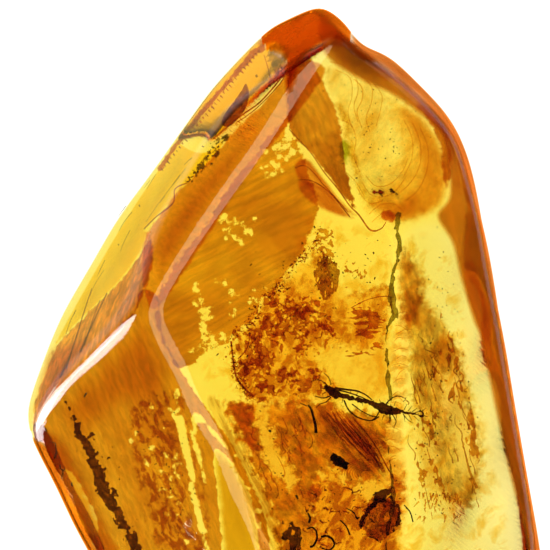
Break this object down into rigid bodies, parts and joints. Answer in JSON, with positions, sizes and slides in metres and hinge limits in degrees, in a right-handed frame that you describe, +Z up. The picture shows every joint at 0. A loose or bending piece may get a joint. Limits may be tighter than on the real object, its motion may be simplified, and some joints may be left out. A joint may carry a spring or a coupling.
{
  "type": "insect in amber",
  "caption": "Polished, faceted amber nodule with an insect, plant debris and cracks sealed inside, lying on its flat back.",
  "frame": {"origin": "under the middle of the bounding box, on the surface that the stone's flat back rests on", "axes": "+Z up out of the polished top face, +Y along the stone towards its narrow pointed end, +X to the right of the stone as seen from above"},
  "size_m": [0.0298, 0.0444, 0.0125],
  "materials": {
    "amber": "polished, see-through honey amber"
  },
  "bodies": {
    "root": {"amber": "amber"}
  },
  "joints": []
}
